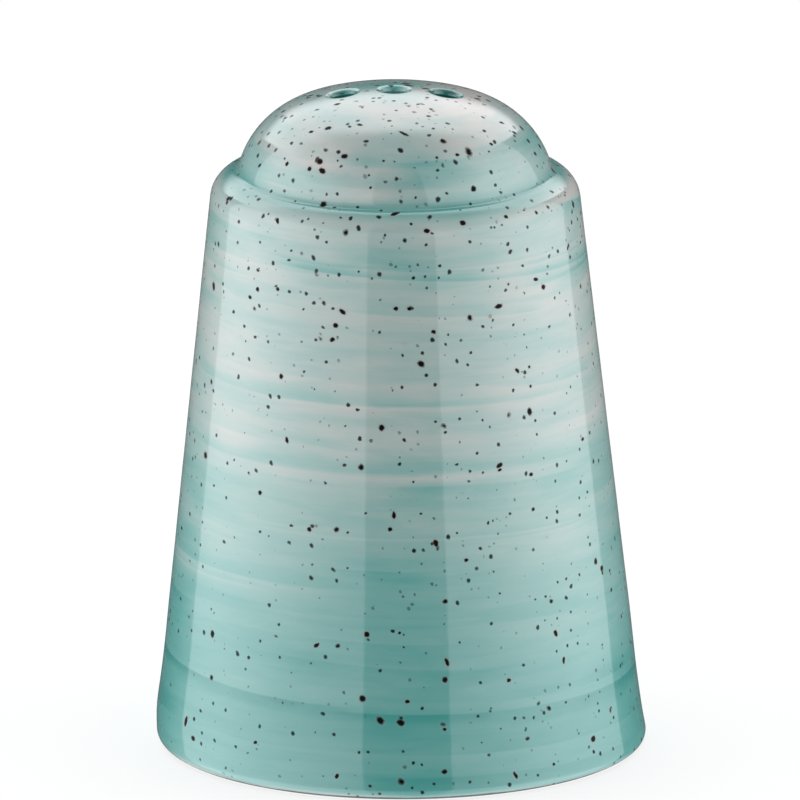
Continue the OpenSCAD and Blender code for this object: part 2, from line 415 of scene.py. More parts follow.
def settle(points, sizes):
    """What the kiln does to the turned body, as small moves of its points at the height z and the turn a.

    Above the foot the body leans, so x falls by tan(lean) times the height. The wall is out of round by
    sag * cos(2 a + 0.7), and its rings stand throwing_ripple * (0.6 sin(z / 1.9 mm) + 0.4 sin(z / 0.83 mm
    + 2 cos a)) high.
    The foot spreads by foot_flare * (0.8 - 0.2 cos a) in a hump 3.5 mm above the floor, and creeps along X by
    foot_creep * exp(-(z / 2.5 mm)^2). Within 14 mm of the axis only the lean is left, so the stopper fits.
    """
    x, y, z = points[..., 0], points[..., 1], points[..., 2]
    radius = np.maximum(np.hypot(x, y), WELD)
    turn = np.arctan2(y, x)
    clear_of_fit = ramp(radius, start=14 * MM, reach=6 * MM)
    above = ramp(z, start=8 * MM, reach=8 * MM)
    above = above * above * (3 - 2 * above)
    flare = sizes.foot_flare * (0.8 - 0.2 * np.cos(turn)) * hump(z - 3.5 * MM, 3 * MM)
    rings = 0.6 * np.sin(z / (1.9 * MM)) + 0.4 * np.sin(z / (0.83 * MM) + 2 * np.cos(turn))
    rings = sizes.throwing_ripple * rings * ramp(z, start=0, reach=6 * MM)
    swell = (sizes.sag * np.cos(2 * turn + 0.7) * above + flare + rings) * clear_of_fit
    creep = sizes.foot_creep * hump(z, 2.5 * MM) * clear_of_fit
    lean = math.tan(sizes.lean) * np.maximum(z - 12 * MM, 0) * above
    return np.stack([x * (1 + swell / radius) + creep - lean, y * (1 + swell / radius), z], -1)


def plain_mesh(name, grids, values):
    """A closed mesh from grids of points, welded where they meet, its faces outwards, with point attributes.

    values maps an attribute's name to one array for each grid, which holds a number for every point.
    """
    starts = np.cumsum([0] + [g.shape[0] * g.shape[1] for g in grids])
    points = np.vstack([g.reshape(-1, 3) for g in grids])
    faces = np.vstack([grid_faces(g.shape[0], g.shape[1], first) for g, first in zip(grids, starts)])
    mesh = bpy.data.meshes.new(name)
    mesh.vertices.add(len(points))
    mesh.vertices.foreach_set("co", points.astype(np.float32).ravel())
    mesh.loops.add(faces.size)
    mesh.loops.foreach_set("vertex_index", faces.astype(np.int32).ravel())
    mesh.polygons.add(len(faces))
    mesh.polygons.foreach_set("loop_start", np.arange(0, faces.size, 4, dtype=np.int32))
    mesh.update(calc_edges=True)
    for attribute, arrays in values.items():
        layer = mesh.attributes.new(attribute, "FLOAT", "POINT")
        layer.data.foreach_set("value", np.concatenate([a.ravel() for a in arrays]).astype(np.float32))
    work = bmesh.new()
    work.from_mesh(mesh)
    bmesh.ops.remove_doubles(work, verts=work.verts, dist=WELD)
    bmesh.ops.dissolve_degenerate(work, edges=work.edges, dist=WELD)
    bmesh.ops.recalc_face_normals(work, faces=work.faces)
    if work.calc_volume(signed=True) < 0:
        bmesh.ops.reverse_faces(work, faces=work.faces)
    work.to_mesh(mesh)
    work.free()
    mesh.polygons.foreach_set("use_smooth", np.ones(len(mesh.polygons), bool))
    mesh.update()
    return mesh


def show(name, mesh, body, replaced, slot, *materials):
    """Links a finished mesh at the origin, lets it ride on its body and stand for its CAD node."""
    if old := bpy.data.objects.get(name):
        bpy.data.objects.remove(old)
    for material in materials:
        mesh.materials.append(material)
    piece = bpy.data.objects.new(name, mesh)
    bpy.context.scene.collection.objects.link(piece)
    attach(piece, body)
    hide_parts(replaced)
    return piece


# ---------------------------------------------------------------- shader nodes


SOCKET_KINDS = {"Vector": "Vector", "Place": "Vector", "Along": "Vector", "Pale": "Color", "Tint": "Color",
                "Color": "Color"}


def connect(tree, made, inputs):
    """Gives each named input of a node its value, or a link where the value is a socket."""
    for name, value in inputs.items():
        if isinstance(value, bpy.types.NodeSocket):
            tree.links.new(value, made.inputs[name])
        else:
            made.inputs[name].default_value = value
    return made


def node(tree, kind, inputs=None, **settings):
    """Adds a node with its settings and inputs."""
    made = tree.nodes.new(kind)
    for name, value in settings.items():
        setattr(made, name, value)
    return connect(tree, made, inputs or {})


def maths(tree, operation, *values, clamp=False):
    """A Math node's output."""
    made = node(tree, "ShaderNodeMath", dict(enumerate(values)), operation=operation, use_clamp=clamp)
    return made.outputs[0]


def vector_maths(tree, operation, *values):
    """A Vector Math node's output, which is a number for a dot product and a vector for the others."""
    made = node(tree, "ShaderNodeVectorMath", dict(enumerate(values)), operation=operation)
    return made.outputs["Value" if operation == "DOT_PRODUCT" else "Vector"]


def plus(tree, first, second, clamp=False):
    """first + second, held between 0 and 1 if clamp says so."""
    return maths(tree, "ADD", first, second, clamp=clamp)


def minus(tree, first, second):
    """first - second."""
    return maths(tree, "SUBTRACT", first, second)


def times(tree, first, second):
    """first * second."""
    return maths(tree, "MULTIPLY", first, second)


def times_plus(tree, first, second, added):
    """first * second + added."""
    return maths(tree, "MULTIPLY_ADD", first, second, added)


def over(tree, first, second):
    """first / second."""
    return maths(tree, "DIVIDE", first, second)


def larger(tree, first, second):
    """The larger of two numbers."""
    return maths(tree, "MAXIMUM", first, second)


def square(tree, value):
    """The value times itself."""
    return times(tree, value, value)


def bell(tree, value):
    """exp(-value^2)."""
    return maths(tree, "EXPONENT", times(tree, square(tree, value), -1.0))


def parts(tree, vector):
    """A position's X, Y and Z."""
    return node(tree, "ShaderNodeSeparateXYZ", {0: vector}).outputs


def azimuth_of(tree, axes):
    """Degrees round the axis, 0 at the front and positive towards +X."""
    return maths(tree, "DEGREES", maths(tree, "ARCTAN2", axes["X"], times(tree, axes["Y"], -1.0)))


def fade(tree, value, start, end, low=0.0, high=1.0):
    """Runs smoothly from low to high while the value goes from start to end."""
    wanted = {"Value": value, "From Min": start, "From Max": end, "To Min": low, "To Max": high}
    return node(tree, "ShaderNodeMapRange", wanted, interpolation_type="SMOOTHSTEP").outputs["Result"]


def mix_colour(tree, share, first, second, blend="MIX"):
    """Goes from the first colour to the second as the share goes from 0 to 1."""
    made = node(tree, "ShaderNodeMix", {0: share, 6: first, 7: second}, data_type="RGBA", blend_type=blend)
    return made.outputs[2]


def mix_value(tree, share, first, second):
    """Goes from the first number to the second as the share goes from 0 to 1."""
    return node(tree, "ShaderNodeMix", {0: share, 2: first, 3: second}, data_type="FLOAT").outputs[0]


def noise(tree, vector, scale, detail=2.0, rough=0.5, distortion=0.0):
    """Cloudy noise from 0 to 1, with so many features in a unit of the vector."""
    wanted = {"Vector": vector, "Scale": scale, "Detail": detail, "Roughness": rough,
              "Distortion": distortion}
    return node(tree, "ShaderNodeTexNoise", wanted).outputs["Fac"]


def scaled(tree, vector, x, y, z):
    """The vector, with each of its parts times a number."""
    return vector_maths(tree, "MULTIPLY", vector, (x, y, z))


def streaked(tree, vector, around, up, **grain):
    """Noise with one number of features per metre round the axis and another up it."""
    return noise(tree, scaled(tree, vector, around, around, up), 1.0, **grain)


def ragged(tree, vector, per_metre, reach):
    """A position moved about by a fine noise, so that what is drawn from it has a ragged edge."""
    wanted = {"Vector": vector, "Scale": per_metre, "Detail": 1.0}
    wobble = node(tree, "ShaderNodeTexNoise", wanted).outputs["Color"]
    wobble = vector_maths(tree, "SUBTRACT", wobble, (0.5, 0.5, 0.5))
    return vector_maths(tree, "ADD", vector, scaled(tree, wobble, reach, reach, reach))


def object_place(tree):
    """The point on the piece, in its own coordinates."""
    return node(tree, "ShaderNodeTexCoord").outputs["Object"]


def own_value(tree, attribute):
    """A number that the piece's mesh holds at each point."""
    return node(tree, "ShaderNodeAttribute", attribute_name=attribute).outputs["Fac"]


def bump(tree, height, reach, strength=1.0):
    """The normal of a surface that the height raises by up to reach."""
    wanted = {"Height": height, "Strength": strength, "Distance": reach}
    return node(tree, "ShaderNodeBump", wanted).outputs["Normal"]


def shader_group(name, inputs, outputs):
    """An empty node group with named sockets: the group, its input node's sockets and its output node.

    The names are words in a row. Sockets hold a number unless SOCKET_KINDS says otherwise.
    """
    tree = bpy.data.node_groups.new(name, "ShaderNodeTree")
    for way, names in (("INPUT", inputs), ("OUTPUT", outputs)):
        for socket in names.split():
            kind = "NodeSocket" + SOCKET_KINDS.get(socket, "Float")
            tree.interface.new_socket(name=socket, in_out=way, socket_type=kind)
    return tree, tree.nodes.new("NodeGroupInput").outputs, tree.nodes.new("NodeGroupOutput")


def use(tree, make, inputs):
    """Places the node group that a function makes, which is made once, and returns its outputs."""
    group = bpy.data.node_groups.get(make.__name__) or make(make.__name__)
    return node(tree, "ShaderNodeGroup", inputs, node_tree=group).outputs


def glaze_depth_tint(name):
    """Colour seen through a tinted layer: each channel is pale * tint ^ depth."""
    tree, given, out = shader_group(name, "Pale Tint Depth", "Color")
    pale = node(tree, "ShaderNodeSeparateColor", {0: given["Pale"]}).outputs
    tint = node(tree, "ShaderNodeSeparateColor", {0: given["Tint"]}).outputs
    layers = [times(tree, pale[i], maths(tree, "POWER", tint[i], given["Depth"])) for i in range(3)]
    joined = node(tree, "ShaderNodeCombineColor", dict(enumerate(layers))).outputs[0]
    connect(tree, out, {"Color": joined})
    return tree


def brushed_layers(name):
    """The brush on the turning body: noise that is long round the axis and short up it, centred on 0.

    Height is z with a slow wander and a slight tilt, because the brush wasn't quite level. Azimuth is in
    degrees, 0 at the front and positive towards +X.
    """
    tree, given, out = shader_group(name, "Vector", "Height Azimuth Streaks")
    axes = parts(tree, given["Vector"])
    wander = streaked(tree, given["Vector"], around=38, up=60)
    wander = times(tree, minus(tree, wander, 0.5), 0.9 * MM)
    height = plus(tree, times_plus(tree, axes["X"], BRUSH_TILT, axes["Z"]), wander)
    level = node(tree, "ShaderNodeCombineXYZ", {0: axes["X"], 1: axes["Y"], 2: height}).outputs[0]
    broad = streaked(tree, level, around=26, up=260, detail=3.0)
    hairs = streaked(tree, level, around=60, up=1500, detail=3.0, rough=0.6)
    strands = streaked(tree, level, around=80, up=620, detail=3.0, distortion=0.3)
    streaks = times(tree, broad, 0.58)
    streaks = times_plus(tree, hairs, 0.14, streaks)
    streaks = times_plus(tree, fade(tree, strands, 0.44, 0.66), 0.12, streaks)
    connect(tree, out, {"Height": height, "Azimuth": azimuth_of(tree, axes),
                        "Streaks": minus(tree, streaks, 0.40)})
    return tree


def brush_stroke(name):
    """One stroke: strength * exp(-((height - edge) / reach)^2) on the side of its edge that reach points to.

    It is cut off crisply at the edge, where the brush's tip ran. The edge climbs with the azimuth, and the
    stroke fades out over 16 degrees at both ends, which lie half its length from its middle.
    """
    tree, given, out = shader_group(name, "Height Azimuth Edge Reach Strength Middle Half Climb", "Depth")
    edge = times_plus(tree, given["Azimuth"], given["Climb"], given["Edge"])
    past = minus(tree, given["Height"], edge)
    depth = bell(tree, over(tree, past, given["Reach"]))
    past = times(tree, past, maths(tree, "SIGN", given["Reach"]))
    from_middle = maths(tree, "ABSOLUTE", minus(tree, given["Azimuth"], given["Middle"]))
    before_end = minus(tree, given["Half"], from_middle)
    for mask in (fade(tree, past, -0.14 * MM, 0.1 * MM), fade(tree, before_end, 0.0, 16.0)):
        depth = times(tree, depth, mask)
    connect(tree, out, {"Depth": times(tree, depth, given["Strength"])})
    return tree


def iron_specks(name):
    """Specks of iron through the glaze, one in some cells of a 3-D Voronoi, where the surface cuts them.

    Each is an ellipsoid of the given size, drawn out by Stretch along its own random direction. Speck is the
    solid middle and Halo the stain round it.
    """
    tree, given, out = shader_group(name, "Vector Spacing Size Share Stretch", "Speck Halo")
    place = ragged(tree, given["Vector"], per_metre=2600.0, reach=0.22 * MM)
    per_metre = over(tree, 1.0, given["Spacing"])
    cells = node(tree, "ShaderNodeTexVoronoi", {"Vector": place, "Scale": per_metre, "Randomness": 1.0})
    away = vector_maths(tree, "SUBTRACT", place, cells.outputs["Position"])
    dice = node(tree, "ShaderNodeSeparateColor", {0: cells.outputs["Color"]}).outputs
    way = vector_maths(tree, "SUBTRACT", cells.outputs["Color"], (0.5, 0.5, 0.5))
    along = vector_maths(tree, "DOT_PRODUCT", away, vector_maths(tree, "NORMALIZE", way))
    longer = times_plus(tree, dice[1], given["Stretch"], 1.0)
    shrink = minus(tree, 1.0, over(tree, 1.0, square(tree, longer)))
    distance = minus(tree, vector_maths(tree, "DOT_PRODUCT", away, away),
                     times(tree, square(tree, along), shrink))
    distance = maths(tree, "SQRT", larger(tree, distance, 0.0))
    size = times(tree, given["Size"], times_plus(tree, dice[2], 0.8, 0.6))
    reach = over(tree, distance, size)
    there = maths(tree, "LESS_THAN", dice[0], given["Share"])
    connect(tree, out, {"Speck": times(tree, fade(tree, reach, 1.2, 0.65), there),
                        "Halo": times(tree, fade(tree, reach, 2.1, 0.8), there)})
    return tree


def placed_speck(name):
    """One large speck at a chosen place, an ellipsoid: Reach is (along / long)^2 + (across / wide)^2."""
    tree, given, out = shader_group(name, "Vector Place Along Long Wide", "Reach")
    away = vector_maths(tree, "SUBTRACT", given["Vector"], given["Place"])
    along = square(tree, vector_maths(tree, "DOT_PRODUCT", away, given["Along"]))
    across = minus(tree, vector_maths(tree, "DOT_PRODUCT", away, away), along)
    reach = plus(tree, over(tree, along, square(tree, given["Long"])),
                 over(tree, across, square(tree, given["Wide"])))
    connect(tree, out, {"Reach": reach})
    return tree


def fine_grain(name):
    """Grain of clay or moulded rubber, as a height and a mottle nine times as broad, both centred on 0."""
    tree, given, out = shader_group(name, "Vector Size", "Height Mottle")
    per_metre = over(tree, 1.0, given["Size"])
    fine = noise(tree, given["Vector"], per_metre, detail=4.0, rough=0.65)
    broad = noise(tree, given["Vector"], over(tree, per_metre, 9.0), detail=3.0)
    connect(tree, out, {"Height": minus(tree, fine, 0.5), "Mottle": minus(tree, broad, 0.5)})
    return tree


# ---------------------------------------------------------------- materials


BRUSH_TILT = 0.012  # how far the brush's level sinks per metre along X
THINNEST_GLAZE = -0.14  # the depth of glaze on the palest places

# strokes of the brush: the height of the crisp edge at the front and how far the colour reaches up from it,
# or down where the reach is negative, in millimetres; the depth of glaze that the stroke adds; the azimuths
# between which it runs, in degrees; and how far it climbs in 60 degrees towards +X, in millimetres
BRUSH_STROKES = (
    (62.2, -1.5, 0.40, 56, 130, -2.2), (55.4, 0.3, 0.18, -50, 90, -0.6), (54.5, 0.7, 0.32, -45, 100, -0.9),
    (53.6, 0.7, 0.20, -130, -40, 0.6), (52.6, 0.7, 0.22, 38, 110, 0), (50.7, 1.2, 0.18, -20, 54, -1.0),
    (45.8, 3.0, 0.20, 60, 130, 0), (42.6, 0.9, 0.16, 28, 80, -0.4), (41.2, 1.4, 0.18, -85, 22, 0),
    (34.2, 1.2, 0.13, -140, 70, 0.1), (33.9, -0.9, -0.10, -50, 70, 0), (32.9, -2.0, 0.20, -8, 66, -0.3),
    (27.4, -0.3, -0.12, -50, 60, 0), (26.9, -3.0, -0.13, 14, 66, 0), (23.9, -1.8, 0.18, -34, 14, -0.4),
    (23.6, -0.9, 0.14, 54, 130, 0), (21.7, -1.3, -0.20, -140, -8, 0), (20.9, -0.3, -0.14, -90, -30, 0.1),
    (18.2, -3.2, -0.12, 16, 66, 0), (17.4, -4.5, 0.25, -160, -60, 0), (16.4, -1.3, 0.16, -50, 24, -0.2),
    (13.9, -1.0, 0.22, -44, 32, -0.8), (9.4, -1.0, 0.75, -172, -8, -0.7), (9.2, -1.3, 0.70, 16, 176, 0),
    (9.1, -0.9, 0.36, -24, 34, 0), (5.0, 2.2, 0.16, 10, 130, 0), (4.6, 2.6, 0.30, -160, -62, 0),
    (4.9, -2.0, -0.12, -60, 50, 0), (2.6, -1.6, 0.15, -20, 80, 0), (65.6, -1.7, 0.17, -10, 34, 0),
    (66.4, -1.2, 0.10, 20, 80, 0), (63.9, -0.9, 0.12, -80, 0, 0), (65.2, -0.8, -0.14, -60, 0, 0),
    (68.8, -0.4, 0.24, 0, 70, 0), (68.9, -0.4, 0.16, -80, -10, 0), (65.0, -1.6, 0.24, 90, 170, 0),
    (66.4, -1.4, 0.24, -170, -90, 0), (50.0, 1.4, 0.20, 120, 176, 0), (33.0, -1.8, 0.22, 110, 176, 0),
    (44.5, 1.6, 0.18, -176, -110, 0), (21.0, -1.6, 0.20, -176, -100, 0), (57.6, -1.8, 0.16, -90, -22, 0),
    (54.8, 1.5, 0.15, 8, 60, 0), (53.0, -3.0, 0.18, 48, 120, 0), (61.0, -1.6, -0.20, -36, -4, 0),
    (10.2, 1.6, 0.22, 24, 80, 0), (15.0, -4.0, 0.10, -32, 14, 0), (27.0, -5.5, -0.12, -70, -34, 0),
    (36.5, -6.0, -0.10, -70, -36, 0), (39.5, -5.5, -0.11, 46, 120, 0), (19.0, 0.5, 0.10, -60, 40, 0),
    (63.2, 3.4, 0.16, -46, 24, 0), (65.8, 2.2, -0.12, 0, 84, 0), (64.8, 2.2, -0.14, -96, -36, 0),
    (62.3, -1.8, -0.22, -66, -20, 0), (55.6, 2.0, 0.22, -24, 84, 0), (54.6, 1.5, 0.16, -90, -34, 0),
    (41.1, -0.8, -0.10, -55, 60, 0),
)

# sprinkled specks, fine, middling and coarse: their spacing and size in millimetres, and the share of places
# that hold one
SPRINKLED_SPECKS = ((0.92, 0.125, 0.42), (1.15, 0.175, 1.0), (2.2, 0.27, 0.62))

# large specks: azimuth in degrees from the front towards +X, height, half length and half width in
# millimetres, and how far the long side is turned from level, in degrees
LARGE_SPECKS = (
    (-16, 51.0, 0.40, 0.25, -35), (-18, 49.5, 0.30, 0.25, 0), (-19, 48.0, 0.30, 0.25, 30),
    (0, 51.5, 0.25, 0.20, 0), (4, 51.5, 0.25, 0.20, 0), (11, 49.0, 0.25, 0.20, 0),
    (32, 51.0, 0.50, 0.25, 10), (47, 53.0, 0.35, 0.20, -10), (50, 52.0, 0.30, 0.30, 0),
    (37, 44.0, 0.35, 0.20, -45), (-35, 43.5, 0.25, 0.30, 0), (-46, 52.0, 0.25, 0.25, 0),
    (-38, 52.5, 0.25, 0.20, 0), (-49, 51.0, 0.25, 0.20, 0), (-32, 37.0, 0.35, 0.20, -70),
    (-65, 33.0, 0.40, 0.35, 0), (-40, 31.0, 0.25, 0.25, 0), (-24, 28.0, 0.25, 0.25, 0),
    (-1, 30.0, 0.40, 0.20, 90), (-2, 28.5, 0.25, 0.20, 0), (10, 27.0, 0.40, 0.25, -75),
    (29, 34.5, 0.40, 0.25, 15), (29, 34.0, 0.25, 0.15, 0), (39, 33.0, 0.25, 0.20, 0),
    (18, 25.0, 0.25, 0.20, 0), (-8, 17.5, 0.30, 0.30, 0), (-21, 16.0, 0.35, 0.20, 35),
    (12, 14.5, 0.45, 0.20, -70), (43, 16.0, 0.40, 0.25, -70), (65, 21.0, 0.35, 0.30, 0),
    (2, 10.5, 0.25, 0.20, 0), (-62, 5.0, 0.60, 0.30, 80), (-15, 2.5, 0.35, 0.20, 55),
    (11, 7.5, 0.20, 0.20, 0), (28, 2.0, 0.45, 0.20, -70), (53, 4.0, 0.40, 0.35, 0),
    (45, 13.0, 0.40, 0.20, 85), (28, 12.0, 0.25, 0.20, 0), (62, 35.0, 0.30, 0.20, 0),
    (10, 59.5, 0.30, 0.25, 0), (22, 60.0, 0.35, 0.30, -40), (-40, 59.5, 0.35, 0.20, -60),
    (38, 60.0, 0.25, 0.20, 0), (-68, 60.0, 0.40, 0.25, 35), (0, 61.0, 0.55, 0.25, 30),
    (5, 68.0, 0.60, 0.20, -40), (69, 66.5, 0.35, 0.20, -40), (68, 67.5, 0.35, 0.20, -40),
    (-22, 66.0, 0.35, 0.30, 0), (-30, 64.5, 0.45, 0.30, -25), (-38, 68.0, 0.40, 0.30, 25),
    (-46, 67.5, 0.30, 0.20, 20), (-36, 64.5, 0.25, 0.25, 0), (-48, 64.5, 0.25, 0.25, 20),
    (-64, 63.5, 0.30, 0.20, 40), (-21, 68.5, 0.35, 0.20, -15), (28, 66.0, 0.25, 0.20, 0),
    (-96, 69.5, 0.35, 0.25, 0), (100, 69.5, 0.30, 0.25, 0), (91, 69.0, 0.35, 0.30, 20),
)

# the glaze in the left, middle and right pour hole, which is pooled glaze and painted shade in the bore: its
# depth, and how far down the rim's arc it starts, where 1 is its end
HOLE_GLAZE_AND_SHADE = ((2.0, 0.5), (0.5, 0.3), (2.9, 0.1))


def new_material(name):
    """A material with only a Principled shader: the material, its tree and the shader."""
    if old := bpy.data.materials.get(name):
        bpy.data.materials.remove(old)
    material = bpy.data.materials.new(name)
    material.use_nodes = True
    tree = material.node_tree
    tree.nodes.clear()
    shader = tree.nodes.new("ShaderNodeBsdfPrincipled")
    connect(tree, tree.nodes.new("ShaderNodeOutputMaterial"), {"Surface": shader.outputs["BSDF"]})
    return material, tree, shader


def brushed_depth(tree, place, axes, pool_and_shade):
    """The depth of the teal glaze: deeper down the wall, with streaks, strokes, clouds and pooled glaze,
    which holds painted shade in the crease and pour holes.
    """
    layers = use(tree, brushed_layers, {"Vector": place})
    height = layers["Height"]
    down_wall = {"Value": height, "From Min": 38 * MM, "From Max": 5 * MM, "To Min": 0.12, "To Max": 0.93}
    wall = node(tree, "ShaderNodeMapRange", down_wall).outputs["Result"]
    on_dome = fade(tree, axes["Z"], 60.5 * MM, 62 * MM)
    dome = fade(tree, axes["Z"], 64.8 * MM, 68 * MM, low=0.27, high=0.10)
    depth = plus(tree, mix_value(tree, on_dome, wall, dome), layers["Streaks"])
    strokes = 0.0
    for edge, reach, strength, start, end, climb in BRUSH_STROKES:
        stroke = use(tree, brush_stroke, {
            "Height": height, "Azimuth": layers["Azimuth"], "Edge": edge * MM, "Reach": reach * MM,
            "Strength": strength, "Middle": (start + end) / 2, "Half": (end - start) / 2,
            "Climb": climb * MM / 60})
        strokes = plus(tree, strokes, stroke["Depth"])
    clouds = streaked(tree, place, around=75, up=190, detail=4.0, distortion=0.25)
    depth = times_plus(tree, strokes, fade(tree, clouds, 0.3, 0.65, low=0.5, high=1.3), depth)
    cloudiness = times_plus(tree, on_dome, 0.7, 0.5)
    depth = times_plus(tree, minus(tree, clouds, 0.5), cloudiness, depth)
    return larger(tree, plus(tree, depth, pool_and_shade), THINNEST_GLAZE)


def place_on_glaze(body, azimuth, height):
    """The point of the settled outside at an azimuth, and the directions round and up there."""
    turn = math.radians(azimuth - 90)
    step = 0.05  # millimetres down and up to the points that give the direction
    heights = np.array([height - step, height, height + step]) * MM
    radii = body.radius_at(heights)
    points = np.stack([radii * math.cos(turn), radii * math.sin(turn), heights], -1)
    low, middle, high = settle(points, body.sizes)
    up = (high - low) / np.linalg.norm(high - low)
    return middle, np.array([-math.sin(turn), math.cos(turn), 0]), up


def largest_specks(tree, place, body):
    """The masks of every large speck that is listed: the speck itself and its stain."""
    place = ragged(tree, place, per_metre=3300.0, reach=0.2 * MM)
    nearest = None
    for azimuth, height, half_length, half_width, turned_by in LARGE_SPECKS:
        middle, around, up = place_on_glaze(body, azimuth, height)
        tilt = math.radians(turned_by)
        along = math.cos(tilt) * around + math.sin(tilt) * up
        reach = use(tree, placed_speck, {"Vector": place, "Place": tuple(middle), "Along": tuple(along),
                                         "Long": half_length * MM, "Wide": half_width * MM})["Reach"]
        nearest = reach if nearest is None else maths(tree, "MINIMUM", nearest, reach)
    return fade(tree, nearest, 1.35, 0.55), fade(tree, nearest, 3.6, 0.8)


def specked(tree, place, axes, body, look, glaze):
    """The glaze's colour with specks and their stains over it, and how much of a point is dull iron."""
    crowded = fade(tree, axes["Z"], 40 * MM, 64 * MM, low=0.45, high=0.8)
    crowded = plus(tree, crowded, fade(tree, axes["X"], -5 * MM, 15 * MM, high=0.12))
    fine, middling, coarse = [
        use(tree, iron_specks, {
            "Vector": place, "Spacing": spacing * MM, "Stretch": 0.5,
            "Size": fade(tree, axes["Z"], 58 * MM, 63 * MM, low=size * MM, high=1.22 * size * MM),
            "Share": times(tree, crowded, share)})
        for spacing, size, share in SPRINKLED_SPECKS]
    large, large_halo = largest_specks(tree, place, body)
    dots = larger(tree, times(tree, fine["Speck"], 0.55), middling["Speck"])
    dotted = mix_colour(tree, dots, glaze, (0.04, 0.04, 0.045, 1), "MULTIPLY")
    halo = larger(tree, times(tree, coarse["Halo"], 0.5), large_halo)
    stained = mix_colour(tree, times(tree, halo, 0.24), dotted, (*look.halo, 1))
    speck = larger(tree, coarse["Speck"], large)
    iron = larger(tree, speck, times(tree, middling["Speck"], 0.8))
    return mix_colour(tree, speck, stained, (*look.speck, 1)), iron


def foot_clay(tree, grain, look):
    """Where the bare clay of the foot ring shows, and its colour, with a painted contact shadow: a dark line
    where the glaze ends.
    """
    bare = own_value(tree, "bare_foot")
    edge = plus(tree, bare, times(tree, grain["Mottle"], 0.5))
    darker = tuple(0.82 * channel for channel in look.clay)
    colour_of_clay = mix_colour(tree, plus(tree, grain["Height"], 0.5, clamp=True), (*look.clay, 1),
                                (*darker, 1))
    # painted contact shadow: the clay goes nearly black in a thin line where the glaze ends
    painted_contact_shadow = times(tree, fade(tree, bare, 0.995, 0.92), 0.95)
    return fade(tree, edge, 0.42, 0.58), mix_colour(tree, painted_contact_shadow, colour_of_clay, (0.035, 0.04, 0.038, 1))


def speckled_glaze(look, body):
    """The outside: pale glaze with brushed teal over it, pooled in hollows, with painted shade in the crease
    and pour holes, thin on edges, with specks, and a painted contact shadow at the foot.
    """
    material, tree, shader = new_material("speckled_glaze")
    place = object_place(tree)
    axes = parts(tree, place)
    # this depth holds pooled glaze and painted shade in the crease and down the pour holes
    depth = brushed_depth(tree, place, axes, own_value(tree, "glaze_pool_and_shade"))
    glaze = use(tree, glaze_depth_tint, {"Pale": (*look.pale, 1), "Tint": (*look.tint, 1), "Depth": depth})
    covered, iron = specked(tree, place, axes, body, look, glaze["Color"])
    grain = use(tree, fine_grain, {"Vector": place, "Size": 0.5 * MM})
    clay, clay_and_painted_shadow = foot_clay(tree, grain, look)

    # the iron breaks the glaze's gloss, except at a glancing angle, where the glaze over it still mirrors
    facing = node(tree, "ShaderNodeLayerWeight", {"Blend": 0.5}).outputs["Facing"]
    matt = times(tree, iron, fade(tree, facing, 0.66, 0.84, low=1.0, high=0.0))
    rough = plus(tree, times(tree, matt, 0.45), look.roughness)
    rough = larger(tree, rough, times(tree, clay, 0.75))

    ripples = streaked(tree, place, around=60, up=800)
    relief = times(tree, noise(tree, place, 420.0), 0.6)
    relief = times_plus(tree, ripples, 0.35, relief)
    relief = times_plus(tree, times(tree, grain["Height"], clay), 3.0, relief)
    connect(tree, shader, {"Base Color": mix_colour(tree, clay, covered, clay_and_painted_shadow), "Metallic": matt,
                           "Roughness": rough, "IOR": look.glaze_ior,
                           "Normal": bump(tree, relief, 0.012 * MM)})
    return material


def liner_glaze(look):
    """The inside: a plain pale glaze with a slight mottle and tiny pinholes."""
    material, tree, shader = new_material("liner_glaze")
    place = object_place(tree)
    grain = use(tree, fine_grain, {"Vector": place, "Size": 0.8 * MM})
    streaks = times(tree, use(tree, brushed_layers, {"Vector": place})["Streaks"], 0.25)
    depth = plus(tree, times_plus(tree, grain["Mottle"], 0.3, streaks), 0.06)
    tinted = use(tree, glaze_depth_tint, {"Pale": (*look.liner, 1), "Tint": (*look.tint, 1), "Depth": depth})
    pinholes = use(tree, iron_specks, {"Vector": place, "Spacing": 3.2 * MM, "Size": 0.1 * MM, "Share": 0.4,
                                       "Stretch": 0.2})
    pinholes = times(tree, pinholes["Speck"], 0.6)
    connect(tree, shader, {"Base Color": mix_colour(tree, pinholes, tinted["Color"], (*look.halo, 1)),
                           "Roughness": times_plus(tree, grain["Mottle"], 0.1, 0.16), "IOR": 1.55,
                           "Normal": bump(tree, grain["Mottle"], 0.02 * MM)})
    return material


def stopper_silicone():
    """Soft moulded rubber: milky, slightly cloudy, with a satin skin that is duller where fingers grip it."""
    material, tree, shader = new_material("stopper_silicone")
    grain = use(tree, fine_grain, {"Vector": object_place(tree), "Size": 0.22 * MM})
    cloudy = mix_colour(tree, plus(tree, grain["Mottle"], 0.5, clamp=True), (0.55, 0.57, 0.555, 1),
                        (0.64, 0.65, 0.63, 1))
    handled = own_value(tree, "handled")
    dusty = mix_colour(tree, times(tree, handled, 0.35), cloudy, (0.45, 0.44, 0.40, 1))
    rough = times_plus(tree, handled, 0.15, 0.42)
    connect(tree, shader, {"Base Color": dusty, "IOR": 1.41, "Subsurface Weight": 0.35,
                           "Roughness": times_plus(tree, grain["Mottle"], 0.12, rough),
                           "Subsurface Radius": (1.0, 0.9, 0.8), "Subsurface Scale": 1.2 * MM,
                           "Normal": bump(tree, grain["Height"], 0.03 * MM, strength=0.6)})
    return material


# ---------------------------------------------------------------- pieces


def distances(points, place):
    """How far each row of points lies from a place."""
    return np.linalg.norm(points - place, axis=1)


